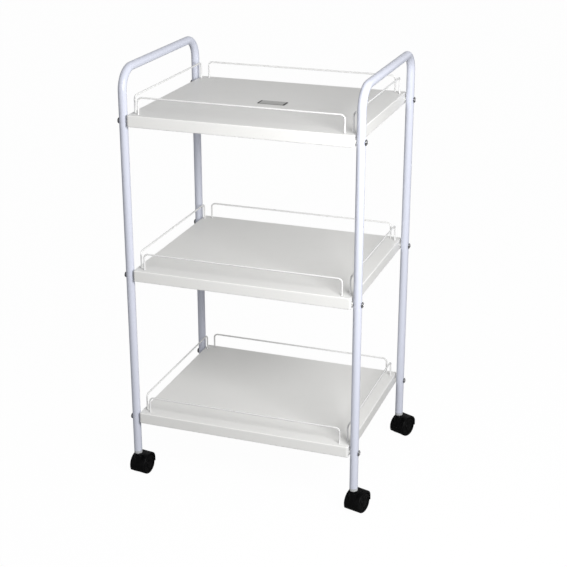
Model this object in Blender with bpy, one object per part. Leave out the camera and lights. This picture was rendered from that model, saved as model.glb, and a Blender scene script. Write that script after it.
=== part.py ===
"""A three-shelf rolling salon trolley: two tube side frames, three folded trays, wire rails, hooded casters.

Metres, +Z up, standing on z = 0. X runs along the shelves, and -Y is the front.
Every piece is one closed solid in its own object. Pieces that touch keep a gap of 0.3 mm.
"""

import math

import bmesh
import bpy
from mathutils import Euler, Matrix, Vector

# ---------------------------------------------------------------- driving dimensions
GAP = 0.0003                 # between pieces that touch
TUBE_R = 0.008               # 16 mm tube
TUBE_WALL = 0.0012
POST_X = 0.225               # half the distance between the left and right posts
POST_Y = 0.168               # half the distance between the front and back posts
BEND_R = 0.040               # handle bends, to the tube's centre line
TUBE_FOOT_Z = 0.0562         # lower end of the posts
LOW_SHELF_UP = 0.088         # bottom tray's top face, above the posts' lower ends
SHELF_STEP = 0.300
HANDLE_UP = 0.080            # handle's centre line, above the top tray

SPACER = 0.0015              # nylon spacer between a post and the tray's side lip
TRAY_LIP = 0.022
TRAY_SHEET = 0.001
TRAY_RETURN = 0.008          # the lip's hem, folded in under the tray
TRAY_FRONT = 0.0015          # how far the lip's face stands in front of the posts
TRAY_CORNER_R = 0.004
TRAY_FOLD_R = 0.002
BOLT_DOWN = 0.013            # bolt's axis, below the tray's top face
BOLT_R = 0.0025

WIRE_R = 0.0016
RAIL_UP = 0.032              # rail's centre line, above the tray
RAIL_BEND_R = 0.008
LONG_RAIL_X = 0.195          # front and back rails: half length, and distance from the middle
LONG_RAIL_Y = 0.167
SIDE_RAIL_X = 0.207
SIDE_RAIL_Y = 0.155

WHEEL_R = 0.020
TRAIL = 0.014                # axle, behind the swivel axis
WEB_HALF = 0.006             # half the thickness of the hood's middle web
CASTER_HALF = 0.0165         # half the width over both wheels
WELL_R = 0.0212              # inside of the hood's fender
HOOD_R = 0.0230              # outside of it
HOOD_TOP_Z = 0.0470          # top of the boss
COLLAR_HIGH = 0.0048         # grey collar under each post
AXLE_R = 0.0025
STEM_R = 0.004               # stem inside the hood
PIN_R = 0.0035               # stem inside the socket
STEM_FOOT_Z = 0.020

# The footprint's middle, trailing casters included, goes over the origin.
FOOTPRINT_SHIFT = Vector((-0.0058, -0.0136, 0.0))

CORNERS = {  # side of X, side of Y, swivel angle at rest in degrees
    "front_left": (-1, -1, -8),
    "front_right": (1, -1, -16),
    "back_left": (-1, 1, -20),
    "back_right": (1, 1, -24),
}
LOW_SHELF_Z = TUBE_FOOT_Z + LOW_SHELF_UP
SHELVES = {"bottom": LOW_SHELF_Z, "middle": LOW_SHELF_Z + SHELF_STEP, "top": LOW_SHELF_Z + 2 * SHELF_STEP}
HANDLE_Z = SHELVES["top"] + HANDLE_UP
COLLAR_UNDER_Z = TUBE_FOOT_Z - GAP - COLLAR_HIGH
TRAY_X = POST_X - TUBE_R - SPACER - 2 * GAP
TRAY_Y = POST_Y + TUBE_R + TRAY_FRONT

TUBE_SIDES = 12
WIRE_SIDES = 6
WHEEL_SIDES = 16
TURNED_SIDES = 12
DRILL_SIDES = 8


# ---------------------------------------------------------------- scene and materials
def clear_scene():
    for obj in list(bpy.data.objects):
        bpy.data.objects.remove(obj)


def material(name, colour, roughness, metallic=0.0):
    mat = bpy.data.materials.new(name)
    mat.use_nodes = True
    shader = mat.node_tree.nodes["Principled BSDF"]
    shader.inputs["Base Color"].default_value = (*colour, 1.0)
    shader.inputs["Roughness"].default_value = roughness
    shader.inputs["Metallic"].default_value = metallic
    mat.diffuse_color = (*colour, 1.0)
    return mat


def make_materials():
    return {
        "frame_paint": material("frame_paint", (0.82, 0.84, 0.90), 0.35),
        "tray_paint": material("tray_paint", (0.82, 0.82, 0.80), 0.45),
        "rail_paint": material("rail_paint", (0.85, 0.85, 0.84), 0.35),
        "bolt_chrome": material("bolt_chrome", (0.75, 0.75, 0.76), 0.18, 1.0),
        "stem_zinc": material("stem_zinc", (0.62, 0.63, 0.64), 0.35, 1.0),
        "socket_plastic": material("socket_plastic", (0.62, 0.63, 0.64), 0.5),
        "caster_plastic": material("caster_plastic", (0.012, 0.012, 0.013), 0.38),
        "label_plate": material("label_plate", (0.70, 0.70, 0.68), 0.3, 0.8),
    }


# ---------------------------------------------------------------- mesh helpers
def new_object(name, mesh, mat, parent=None, hidden=False):
    obj = bpy.data.objects.new(name, mesh)
    bpy.context.scene.collection.objects.link(obj)
    obj.parent = parent
    if mat is not None and not mesh.materials:
        mesh.materials.append(mat)
    if hidden:
        obj.hide_render = True
        obj.display_type = "WIRE"
    return obj


def empty(name, location, rotation_z=0.0, parent=None):
    obj = bpy.data.objects.new(name, None)
    bpy.context.scene.collection.objects.link(obj)
    obj.location = location
    obj.rotation_euler = (0.0, 0.0, rotation_z)
    obj.parent = parent
    return obj


def finish_mesh(bm, name, smooth_angle=math.radians(40)):
    """bm as a mesh whose faces point out."""
    bmesh.ops.recalc_face_normals(bm, faces=bm.faces)
    mesh = bpy.data.meshes.new(name)
    bm.to_mesh(mesh)
    bm.free()
    mesh.shade_smooth()
    mesh.set_sharp_from_angle(angle=smooth_angle)
    return mesh


def loft(rings, closed=False):
    """A bmesh skinned over rings of equally many points; its ends are capped unless it closes on itself."""
    bm = bmesh.new()
    verts = [[bm.verts.new(point) for point in ring] for ring in rings]
    pairs = list(zip(verts, verts[1:]))
    if closed:
        pairs.append((verts[-1], verts[0]))
    for one, other in pairs:
        for i in range(len(one)):
            j = (i + 1) % len(one)
            bm.faces.new((one[i], one[j], other[j], other[i]))
    if not closed:
        bm.faces.new(verts[0])
        bm.faces.new(verts[-1])
    return bm


def turned(profile, sides=TURNED_SIDES, hexes=(), drawn_round=False):
    """A solid turned about Z from (z, radius) points. The points numbered in hexes are six-sided, by their flats.

    With drawn_round the flats touch the true circle, instead of the corners.
    """
    half = math.pi / sides
    grow = 1 / math.cos(half) if drawn_round else 1.0
    rings = []
    for index, (z, radius) in enumerate(profile):
        ring = []
        for k in range(sides):
            angle = 2 * half * k + half * (index not in hexes)
            reach = radius * grow
            if index in hexes:
                reach = radius / math.cos((angle + math.pi / 6) % (math.pi / 3) - math.pi / 6)
            ring.append((reach * math.cos(angle), reach * math.sin(angle), z))
        rings.append(ring)
    return loft(rings)


def cross_section(centre, along, radius, sides, side_axis):
    """A ring of points about centre, square to along. side_axis is square to along too."""
    across = side_axis.cross(along)
    turns = [2 * math.pi * k / sides for k in range(sides)]
    return [centre + radius * (math.cos(a) * side_axis + math.sin(a) * across) for a in turns]


def u_bends(half_width, top, radius, steps, sideways):
    """Points, and the way the tube runs at each, round the two bends of an upside-down U."""
    up = Vector((0, 0, 1))
    stations = []
    for side, first_angle in ((-1, math.pi), (1, math.pi / 2)):
        centre = side * (half_width - radius) * sideways + (top - radius) * up
        for k in range(steps + 1):
            angle = first_angle - math.pi / 2 * k / steps
            point = centre + radius * (math.cos(angle) * sideways + math.sin(angle) * up)
            stations.append((point, math.sin(angle) * sideways - math.cos(angle) * up))
    return stations


def arc(centre, radius, start, end, steps, first, second):
    """Points on an arc about centre, from start to end radians, in the plane of first and second."""
    angles = [start + (end - start) * k / steps for k in range(steps + 1)]
    return [centre + radius * (math.cos(a) * first + math.sin(a) * second) for a in angles]


def rounded_outline(half_x, half_y, radius, steps=2):
    """Points round a rectangle with round corners."""
    points = []
    for corner, (sx, sy) in enumerate(((1, 1), (-1, 1), (-1, -1), (1, -1))):
        centre = Vector((sx * (half_x - radius), sy * (half_y - radius)))
        start = corner * math.pi / 2
        for k in range(steps + 1):
            angle = start + math.pi / 2 * k / steps
            points.append(centre + radius * Vector((math.cos(angle), math.sin(angle))))
    return points


def drill_into(bm, centre, radius, length, axis, sides=DRILL_SIDES):
    """Adds a closed cylinder to bm, centred on a point. Its flats touch the true circle, so a hole is never small."""
    radius = radius / math.cos(math.pi / sides)
    turn = Vector((0, 0, 1)).rotation_difference(axis).to_matrix().to_4x4()
    matrix = Matrix.Translation(centre) @ turn
    bmesh.ops.create_cone(bm, cap_ends=True, segments=sides, radius1=radius, radius2=radius,
                          depth=length, matrix=matrix)


def boolean(obj, cutter, operation="DIFFERENCE"):
    modifier = obj.modifiers.new(operation.lower(), "BOOLEAN")
    modifier.operation = operation
    modifier.solver = "EXACT"
    modifier.object = cutter


def evaluated_mesh(obj, name):
    """obj's mesh with its modifiers applied, for several objects to share."""
    bpy.context.view_layer.update()
    graph = bpy.context.evaluated_depsgraph_get()
    mesh = bpy.data.meshes.new_from_object(obj.evaluated_get(graph))
    mesh.name = name
    return mesh


# ---------------------------------------------------------------- side frames
def side_frame_mesh():
    """A tube bent into an upside-down U, in the plane x = 0, open at both feet."""
    side, back, up = Vector((1, 0, 0)), Vector((0, 1, 0)), Vector((0, 0, 1))
    stations = [(Vector((0, -POST_Y, TUBE_FOOT_Z)), up)]
    stations += u_bends(POST_Y, HANDLE_Z, BEND_R, 5, back)
    stations.append((Vector((0, POST_Y, TUBE_FOOT_Z)), -up))
    outside = [cross_section(point, along, TUBE_R, TUBE_SIDES, side) for point, along in stations]
    inside = [cross_section(point, along, TUBE_R - TUBE_WALL, TUBE_SIDES, side) for point, along in stations]
    return finish_mesh(loft(outside + inside[::-1], closed=True), "side_frame")


def bolt_hole_cutter(parent):
    """Six drills along X, one for each bolt through a side frame."""
    bm = bmesh.new()
    for shelf_z in SHELVES.values():
        for side in (-1, 1):
            centre = Vector((0, side * POST_Y, shelf_z - BOLT_DOWN))
            drill_into(bm, centre, BOLT_R + GAP, 4 * TUBE_R, Vector((1, 0, 0)))
    return new_object("frame_drills", finish_mesh(bm, "frame_drills"), None, parent, hidden=True)


def make_side_frames(mats, trolley):
    for name, side in (("left", -1), ("right", 1)):
        place = empty(f"{name}_side", (side * POST_X, 0, 0), parent=trolley)
        frame = new_object(f"side_frame_{name}", side_frame_mesh(), mats["frame_paint"], place)
        boolean(frame, bolt_hole_cutter(place))


# ---------------------------------------------------------------- trays
def tray_mesh():
    """A sheet-steel tray: flat top, lips folded down, and a hem folded in. Its top face is z = 0."""
    sheet, fold, hem_fold = TRAY_SHEET, TRAY_FOLD_R, 0.0015
    label_clear = 0.1475  # an edge on the flat, round the label, so that the faces beside it are clear of it
    bottom = -TRAY_LIP
    skin = [  # (distance in from the outline, z), from the hem's edge round the outside to the top
        (TRAY_RETURN, bottom), (hem_fold, bottom), (0, bottom + hem_fold), (0, -fold),
        (0.3 * fold, -0.3 * fold), (fold, 0), (label_clear, 0),
    ]
    lining = [  # and back along the inside
        (fold, -sheet), (sheet, -fold), (sheet, bottom + hem_fold),
        (hem_fold, bottom + sheet), (TRAY_RETURN, bottom + sheet),
    ]
    rings = []
    for inset, z in skin + lining:
        radius = max(TRAY_CORNER_R - inset, 0.0005)
        outline = rounded_outline(TRAY_X - inset, TRAY_Y - inset, radius)
        rings.append([(p.x, p.y, z) for p in outline])
    bm = bmesh.new()
    verts = [[bm.verts.new(point) for point in ring] for ring in rings]
    top, under = len(skin) - 1, len(skin)
    count = len(rings[0])
    for k in range(len(rings)):
        if k == top:
            continue
        one, other = verts[k], verts[(k + 1) % len(rings)]
        for i in range(count):
            j = (i + 1) % count
            bm.faces.new((one[i], one[j], other[j], other[i]))
    bm.faces.new(verts[top])
    bm.faces.new(verts[under])
    return finish_mesh(bm, "tray")


def rail_feet():
    """Where the rails' legs go through a tray, in X and Y."""
    long_feet = [(sx * LONG_RAIL_X, sy * LONG_RAIL_Y) for sx in (-1, 1) for sy in (-1, 1)]
    side_feet = [(sx * SIDE_RAIL_X, sy * SIDE_RAIL_Y) for sx in (-1, 1) for sy in (-1, 1)]
    return long_feet + side_feet


def tray_hole_cutter(parent):
    """Drills for the eight rail legs and the four bolts of a tray."""
    bm = bmesh.new()
    for x, y in rail_feet():
        drill_into(bm, Vector((x, y, 0)), WIRE_R + GAP, 0.006, Vector((0, 0, 1)), WIRE_SIDES)
    for sx in (-1, 1):
        for sy in (-1, 1):
            centre = Vector((sx * TRAY_X, sy * POST_Y, -BOLT_DOWN))
            drill_into(bm, centre, BOLT_R + GAP, 0.008, Vector((1, 0, 0)))
    return new_object("tray_drills", finish_mesh(bm, "tray_drills"), None, parent, hidden=True)


def make_trays(mats, trolley):
    blank = new_object("tray_blank", tray_mesh(), mats["tray_paint"], trolley, hidden=True)
    boolean(blank, tray_hole_cutter(trolley))
    drilled = evaluated_mesh(blank, "tray_drilled")
    for name, z in SHELVES.items():
        place = empty(f"{name}_level", (0, 0, z), parent=trolley)
        new_object(f"tray_{name}", drilled, mats["tray_paint"], place)


# ---------------------------------------------------------------- rails
def rail_mesh(half_length):
    """A bent wire in the plane y = 0 that stands on z = 0.

    The push nuts that hold its legs from below share its solid.
    """
    sideways, side, up = Vector((1, 0, 0)), Vector((0, 1, 0)), Vector((0, 0, 1))
    nut_r, nut_thick = 0.0040, 0.0012
    under = -TRAY_SHEET - GAP
    foot = [  # (z, radius) up the leg, from its lower end
        (under - nut_thick, nut_r), (under, nut_r), (under, WIRE_R),
    ]
    legs = [(Vector((-half_length, 0, z)), up, radius) for z, radius in foot]
    legs_down = [(Vector((half_length, 0, z)), -up, radius) for z, radius in reversed(foot)]
    bends = u_bends(half_length, RAIL_UP, RAIL_BEND_R, 3, sideways)
    stations = legs + [(point, along, WIRE_R) for point, along in bends] + legs_down
    rings = [cross_section(point, along, radius, WIRE_SIDES, side) for point, along, radius in stations]
    return finish_mesh(loft(rings), "rail")


def make_rails(mats, trolley):
    long_mesh, side_mesh = rail_mesh(LONG_RAIL_X), rail_mesh(SIDE_RAIL_Y)
    places = {
        "front": (long_mesh, (0, -LONG_RAIL_Y), 0.0),
        "back": (long_mesh, (0, LONG_RAIL_Y), 0.0),
        "left": (side_mesh, (-SIDE_RAIL_X, 0), math.pi / 2),
        "right": (side_mesh, (SIDE_RAIL_X, 0), math.pi / 2),
    }
    for level, z in SHELVES.items():
        for side, (mesh, (x, y), turn) in places.items():
            rail = new_object(f"rail_{level}_{side}", mesh, mats["rail_paint"], trolley)
            rail.location = (x, y, z)
            rail.rotation_euler = (0, 0, turn)


# ---------------------------------------------------------------- bolts
def bolt_set_mesh():
    """A bolt with its spacer and nut, along Z. z = 0 is the post's axis, and +Z points out of the trolley.

    They are three pieces on a real trolley, and share one solid here to keep the number of objects down.
    """
    seat = TUBE_R + GAP
    head_r, head_high = 0.0055, 0.0032
    spacer_near = -TUBE_R - GAP
    spacer_far = spacer_near - SPACER
    spacer_r = 0.0045
    lip_inner = -(POST_X - TRAY_X + TRAY_SHEET) - GAP
    nut_thick, nut_flat, tail = 0.004, 0.004, 0.0025
    profile = [
        (seat + head_high, 0.0026), (seat + 0.6 * head_high, 0.0047), (seat, head_r), (seat, BOLT_R),
        (spacer_near, BOLT_R), (spacer_near, spacer_r), (spacer_far, spacer_r), (spacer_far, BOLT_R),
        (lip_inner, BOLT_R), (lip_inner, nut_flat), (lip_inner - nut_thick, nut_flat),
        (lip_inner - nut_thick, BOLT_R), (lip_inner - nut_thick - tail, BOLT_R),
    ]
    nut_rings = (9, 10)
    return finish_mesh(turned(profile, hexes=nut_rings), "bolt_set")


def make_bolts(mats, trolley):
    mesh = bolt_set_mesh()
    for level, z in SHELVES.items():
        for corner, (sx, sy, _) in CORNERS.items():
            bolt = new_object(f"bolt_{level}_{corner}", mesh, mats["bolt_chrome"], trolley)
            bolt.location = (sx * POST_X, sy * POST_Y, z - BOLT_DOWN)
            bolt.rotation_euler = Vector((0, 0, 1)).rotation_difference(Vector((sx, 0, 0))).to_euler()


# ---------------------------------------------------------------- label plate
def make_label(mats, trolley):
    """A blank plate on the top tray."""
    half_x, half_y, thick, corner = 0.027, 0.012, 0.0006, 0.002
    rings = [[(p.x, p.y, z) for p in rounded_outline(half_x, half_y, corner)] for z in (0, thick)]
    plate = new_object("label_plate", finish_mesh(loft(rings), "label_plate"), mats["label_plate"], trolley)
    plate.location = (0.003, 0, SHELVES["top"] + GAP)


# ---------------------------------------------------------------- casters
# In a caster's own frame the swivel axis is Z, the axle runs along X, and +Y is the way it trails.
def socket_mesh():
    """The plastic sleeve in a post's foot, bored through, with the collar that the post stands on."""
    sleeve_r, collar_r, bore_r = TUBE_R - TUBE_WALL - GAP, TUBE_R, PIN_R + GAP
    collar_top, sleeve_top = TUBE_FOOT_Z - GAP, TUBE_FOOT_Z + 0.026
    profile = [
        (COLLAR_UNDER_Z, bore_r), (COLLAR_UNDER_Z, collar_r), (collar_top, collar_r),
        (collar_top, sleeve_r), (sleeve_top, sleeve_r), (sleeve_top, bore_r),
    ]
    half = math.pi / TURNED_SIDES
    turns = [half * (2 * k + 1) for k in range(TURNED_SIDES)]
    rings = [[(r * math.cos(a), r * math.sin(a), z) for a in turns] for z, r in profile]
    return finish_mesh(loft(rings, closed=True), "socket")


def stem_mesh():
    """The steel pin: pressed into the socket above its flange, and the hood swivels on it below."""
    flange_r = 0.0055
    flange_under, flange_top = HOOD_TOP_Z + GAP, COLLAR_UNDER_Z - GAP
    profile = [
        (STEM_FOOT_Z, STEM_R - 0.0006), (STEM_FOOT_Z + 0.001, STEM_R), (flange_under, STEM_R),
        (flange_under, flange_r), (flange_top, flange_r), (flange_top, PIN_R),
        (TUBE_FOOT_Z + 0.022, PIN_R), (TUBE_FOOT_Z + 0.024, PIN_R - 0.001),
    ]
    return finish_mesh(turned(profile), "stem")


def hood_outline():
    """The hood from the side, in Y and Z: squarer behind than in front, and cut away below the axle."""
    axle = Vector((0, TRAIL, WHEEL_R))
    back, up = Vector((0, 1, 0)), Vector((0, 0, 1))
    rear_r, rear_drop = 0.016, 0.001
    rear_centre = axle + (HOOD_R - rear_r) * (back + up)
    points = [axle + HOOD_R * back - rear_drop * up]
    points += arc(rear_centre, rear_r, 0, math.pi / 2, 6, back, up)
    points += arc(axle, HOOD_R, math.pi / 2, math.radians(205), 8, back, up)
    web_foot = [(-0.012, -0.0115), (0, -0.0125), (0.009, -0.008)]
    points += [axle + y * back + z * up for y, z in web_foot]
    return points


def hood_mesh():
    """The hood: a fender over both wheels, a web between them that holds the axle, and a boss for the stem."""
    outline = hood_outline()
    half = CASTER_HALF - 0.0005
    body = new_object("hood_blank", finish_mesh(loft(
        [[Vector((x, p.y, p.z)) for p in outline] for x in (-half, half)]), "hood_blank"), None, hidden=True)

    boss_mesh = bmesh.new()
    boss_low, boss_r, boss_sides = 0.030, 0.0093, 16
    boss_centre = Vector((0, 0, (boss_low + HOOD_TOP_Z) / 2))
    drill_into(boss_mesh, boss_centre, boss_r, HOOD_TOP_Z - boss_low, Vector((0, 0, 1)), boss_sides)
    boss = new_object("hood_boss", finish_mesh(boss_mesh, "hood_boss"), None, hidden=True)
    boolean(body, boss, "UNION")

    wells = bmesh.new()
    well_length, well_sides = 0.020, 24
    for side in (-1, 1):
        centre = Vector((side * (WEB_HALF + well_length / 2), TRAIL, WHEEL_R))
        drill_into(wells, centre, WELL_R, well_length, Vector((1, 0, 0)), well_sides)
    boolean(body, new_object("hood_wells", finish_mesh(wells, "hood_wells"), None, hidden=True))

    bores = bmesh.new()
    bore_low, bore_high = STEM_FOOT_Z - GAP, HOOD_TOP_Z + 0.010
    bore_centre = Vector((0, 0, (bore_low + bore_high) / 2))
    drill_into(bores, bore_centre, STEM_R + GAP, bore_high - bore_low, Vector((0, 0, 1)))
    drill_into(bores, Vector((0, TRAIL, WHEEL_R)), AXLE_R + GAP, 4 * WEB_HALF, Vector((1, 0, 0)))
    boolean(body, new_object("hood_bores", finish_mesh(bores, "hood_bores"), None, hidden=True))
    return evaluated_mesh(body, "hood")


def wheel_mesh():
    """One wheel, turned about Z, with its inner face down: a rim, a dished disc and a blind bore."""
    inner, outer = WEB_HALF + 0.0004, CASTER_HALF
    bore_r, bore_end = AXLE_R + GAP, outer - 0.0022
    profile = [
        (bore_end, bore_r), (inner, bore_r), (inner, WHEEL_R - 0.001), (inner + 0.001, WHEEL_R),
        (outer - 0.003, WHEEL_R), (outer, WHEEL_R - 0.0040), (outer - 0.0014, WHEEL_R - 0.0060),
        (outer - 0.0014, 0.0080), (outer - 0.0004, 0.0060),
    ]
    return finish_mesh(turned(profile, sides=WHEEL_SIDES, drawn_round=True), "wheel")


def axle_mesh():
    half = CASTER_HALF - 0.0022 - GAP
    chamfer = 0.0004
    profile = [(-half, AXLE_R - chamfer), (-half + chamfer, AXLE_R), (half - chamfer, AXLE_R), (half, AXLE_R - chamfer)]
    return finish_mesh(turned(profile), "axle")


def make_casters(mats, trolley):
    socket, stem, hood, wheel, axle = socket_mesh(), stem_mesh(), hood_mesh(), wheel_mesh(), axle_mesh()
    for corner, (sx, sy, swivel) in CORNERS.items():
        post = empty(f"post_{corner}", (sx * POST_X, sy * POST_Y, 0), parent=trolley)
        new_object(f"socket_{corner}", socket, mats["socket_plastic"], post)
        new_object(f"stem_{corner}", stem, mats["stem_zinc"], post)
        turn = empty(f"swivel_{corner}", (0, 0, 0), math.radians(swivel), parent=post)
        new_object(f"hood_{corner}", hood, mats["caster_plastic"], turn)
        hub = empty(f"hub_{corner}", (0, TRAIL, WHEEL_R), parent=turn)
        pin = new_object(f"axle_{corner}", axle, mats["stem_zinc"], hub)
        pin.rotation_euler = Euler((0, math.pi / 2, 0))
        for name, side in (("left", -1), ("right", 1)):
            disc = new_object(f"wheel_{corner}_{name}", wheel, mats["caster_plastic"], hub)
            disc.rotation_euler = Euler((0, side * math.pi / 2, 0))


# ---------------------------------------------------------------- the trolley
def main():
    clear_scene()
    mats = make_materials()
    trolley = empty("trolley", FOOTPRINT_SHIFT)
    make_side_frames(mats, trolley)
    make_trays(mats, trolley)
    make_rails(mats, trolley)
    make_bolts(mats, trolley)
    make_label(mats, trolley)
    make_casters(mats, trolley)
    bpy.context.view_layer.update()


main()
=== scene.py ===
import math

import bmesh
import bpy
from mathutils import Matrix, Vector


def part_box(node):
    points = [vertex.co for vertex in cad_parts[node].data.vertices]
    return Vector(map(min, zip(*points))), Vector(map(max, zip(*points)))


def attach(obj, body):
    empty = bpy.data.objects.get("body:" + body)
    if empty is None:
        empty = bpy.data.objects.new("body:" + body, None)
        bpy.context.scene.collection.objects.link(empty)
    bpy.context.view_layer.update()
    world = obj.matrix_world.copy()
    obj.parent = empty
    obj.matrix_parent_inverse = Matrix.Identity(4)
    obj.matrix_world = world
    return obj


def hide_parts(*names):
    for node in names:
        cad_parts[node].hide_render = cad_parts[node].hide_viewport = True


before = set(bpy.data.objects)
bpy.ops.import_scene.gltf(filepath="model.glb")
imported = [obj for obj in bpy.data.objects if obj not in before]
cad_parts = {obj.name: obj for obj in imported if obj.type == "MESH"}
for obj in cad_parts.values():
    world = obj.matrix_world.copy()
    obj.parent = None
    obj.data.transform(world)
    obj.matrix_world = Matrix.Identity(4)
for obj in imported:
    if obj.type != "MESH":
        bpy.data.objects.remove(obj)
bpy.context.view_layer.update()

levels = ("bottom", "middle", "top")
corners = ("front_left", "front_right", "back_left", "back_right")
across = Vector((1, 0, 0))
back = Vector((0, 1, 0))
up = Vector((0, 0, 1))


# Places, all read from the CAD frame
def middle(node):
    low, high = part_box(node)
    return (low + high) / 2


def postAxis(corner):
    spot = middle(f"socket_{corner}")
    return Vector((spot.x, spot.y, 0))


def trayTop(level):
    spot = middle(f"tray_{level}")
    return Vector((spot.x, spot.y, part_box(f"tray_{level}")[1].z))


def casterTurn(corner):
    # how far the caster has swivelled, from where its axle lies behind the post
    trail = middle(f"axle_{corner}") - postAxis(corner)
    return math.atan2(-trail.x, trail.y)


gap = 0.0003  # between pieces that touch, as in the CAD
tubeLow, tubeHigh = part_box("side_frame_left")
tubeRadius = (tubeHigh.x - tubeLow.x) / 2
postY = (tubeHigh.y - tubeLow.y) / 2 - tubeRadius
trolleyMiddle = Vector((middle("tray_top").x, middle("tray_top").y, 0))
wheelRadius = middle("axle_front_left").z
trailBack = (middle("axle_front_left") - postAxis("front_left")).xy.length
print("frame read: tube radius %.4f, wheel radius %.4f" % (tubeRadius, wheelRadius))


# Shader nodes
class Signal:
    # one node socket that Python's operators work on
    def __init__(self, sheet, socket):
        self.sheet = sheet
        self.socket = socket

    def __add__(self, other):
        return self.sheet.maths("ADD", self, other)

    def __radd__(self, other):
        return self.sheet.maths("ADD", other, self)

    def __sub__(self, other):
        return self.sheet.maths("SUBTRACT", self, other)

    def __rsub__(self, other):
        return self.sheet.maths("SUBTRACT", other, self)

    def __mul__(self, other):
        return self.sheet.maths("MULTIPLY", self, other)

    def __rmul__(self, other):
        return self.sheet.maths("MULTIPLY", other, self)


class Sheet:
    # one material or world, and the node tree that it holds
    def __init__(self, owner):
        self.owner = owner
        owner.use_nodes = True
        self.tree = owner.node_tree
        self.tree.nodes.clear()

    def add(self, kind, settings=None, sockets=None, output=0):
        node = self.tree.nodes.new(kind)
        for key, value in (settings or {}).items():
            if key == "stops":
                self.setStops(node.color_ramp, value)
            else:
                setattr(node, key, value)
        for key, value in (sockets or {}).items():
            if isinstance(value, Signal):
                self.tree.links.new(value.socket, node.inputs[key])
            else:
                node.inputs[key].default_value = value
        return Signal(self, node.outputs[output]) if node.outputs else node

    def setStops(self, ramp, stops):
        while len(ramp.elements) < len(stops):
            ramp.elements.new(0.5)
        for element, (place, value) in zip(ramp.elements, stops):
            element.position = place
            element.color = (value, value, value, 1) if isinstance(value, float) else (*value, 1)

    def maths(self, operation, first, second):
        return self.add("ShaderNodeMath", {"operation": operation}, {0: first, 1: second})

    def ramp(self, factor, stops):
        return self.add("ShaderNodeValToRGB", {"stops": stops}, {"Fac": factor})

    def noise(self, place, scale, detail=2.0, roughness=0.5):
        sockets = {"Vector": place, "Scale": scale, "Detail": detail, "Roughness": roughness}
        return self.add("ShaderNodeTexNoise", None, sockets)

    def mixColour(self, factor, first, second):
        sockets = {0: factor, 6: first, 7: second}
        return self.add("ShaderNodeMix", {"data_type": "RGBA", "clamp_factor": True}, sockets, 2)

    def spot(self):
        return self.add("ShaderNodeTexCoord", None, None, 3)  # the piece's own coordinates

    def part(self, vector, number):
        return self.add("ShaderNodeSeparateXYZ", None, {"Vector": vector}, number)

    def bump(self, height, distance, strength=1.0):
        sockets = {"Height": height, "Distance": distance, "Strength": strength}
        return self.add("ShaderNodeBump", None, sockets)

    def principled(self, sockets):
        surface = self.add("ShaderNodeBsdfPrincipled", None, sockets)
        self.add("ShaderNodeOutputMaterial", None, {"Surface": surface})
        return self.owner


def newSheet(name):
    return Sheet(bpy.data.materials.new(name))


def colour(red, green, blue):
    return (red, green, blue, 1)


# Finishes. Each kind has one dictionary of what its finishes share, then one for each finish
coatLook = {
    "gritFiner": 4, "peelShare": 0.8, "gritShare": 0.2, "cloudScale": 7.0, "cloudRough": 0.05,
    "speckScale": 420.0, "speckStops": [(0.70, 0.0), (0.78, 1.0)],
    "rubbedScale": 26.0, "rubbedStops": [(0.56, 0.0), (0.74, 1.0)], "rubbedShade": 0.16, "rubbedRough": 0.07,
    "ior": 1.5,
}


def powderCoat(name, finish):
    # orange peel with fine grit, slow clouding, small specks, and patches that are rubbed duller
    sheet = newSheet(name)
    place = sheet.spot()
    peel = sheet.noise(place, finish["peelScale"], detail=1.5)
    grit = sheet.noise(place, finish["peelScale"] * coatLook["gritFiner"], detail=2.0)
    cloud = sheet.noise(place, coatLook["cloudScale"], detail=3.0, roughness=0.6)
    specks = sheet.noise(place, coatLook["speckScale"], detail=1.0)
    speck = sheet.ramp(specks, coatLook["speckStops"])
    rubs = sheet.noise(place, coatLook["rubbedScale"], detail=5.0, roughness=0.7)
    rubbed = sheet.ramp(rubs, coatLook["rubbedStops"])
    aged = sheet.mixColour(cloud * finish["cloudiness"], finish["colour"], finish["shade"])
    dusty = sheet.mixColour(rubbed * coatLook["rubbedShade"], aged, finish["shade"])
    flecked = sheet.mixColour(speck * finish["flecks"], dusty, finish["fleck"])
    relief = peel * coatLook["peelShare"] + grit * coatLook["gritShare"]
    return sheet.principled({
        "Base Color": flecked,
        "Roughness": finish["roughness"] + rubbed * coatLook["rubbedRough"] + cloud * coatLook["cloudRough"],
        "IOR": coatLook["ior"],
        "Normal": sheet.bump(relief, finish["peelDepth"]),
    })


framePaint = {
    "colour": colour(0.62, 0.642, 0.735), "shade": colour(0.56, 0.582, 0.668),
    "fleck": colour(0.42, 0.43, 0.48),
    "roughness": 0.27, "peelScale": 620.0, "peelDepth": 0.00002, "cloudiness": 0.4, "flecks": 0.2,
}
trayPaint = {
    "colour": colour(0.80, 0.797, 0.782), "shade": colour(0.735, 0.73, 0.712),
    "fleck": colour(0.56, 0.555, 0.54),
    "roughness": 0.34, "peelScale": 520.0, "peelDepth": 0.00004, "cloudiness": 0.55, "flecks": 0.3,
}
railPaint = {
    "colour": colour(0.74, 0.74, 0.735), "shade": colour(0.66, 0.66, 0.652),
    "fleck": colour(0.50, 0.50, 0.49),
    "roughness": 0.22, "peelScale": 900.0, "peelDepth": 0.00005, "cloudiness": 0.4, "flecks": 0.15,
}


def paintedEdgeShade(sheet, place, finish):
    # painted shade and painted dark reflection: the metal is darkened where it lies furthest from its own
    # axis, as a dark ring round the rim
    flat = sheet.add("ShaderNodeVectorMath", {"operation": "MULTIPLY"}, {0: place, 1: (1, 1, 0)})
    out = sheet.add("ShaderNodeVectorMath", {"operation": "LENGTH"}, {0: flat}, 1)
    start, end = finish["edgeShadeFrom"], finish["edgeShadeFull"]
    sockets = {"Value": out, "From Min": start, "From Max": end, "To Min": 0.0, "To Max": finish["edgeShadeMost"]}
    return sheet.add("ShaderNodeMapRange", {"clamp": True}, sockets)


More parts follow.
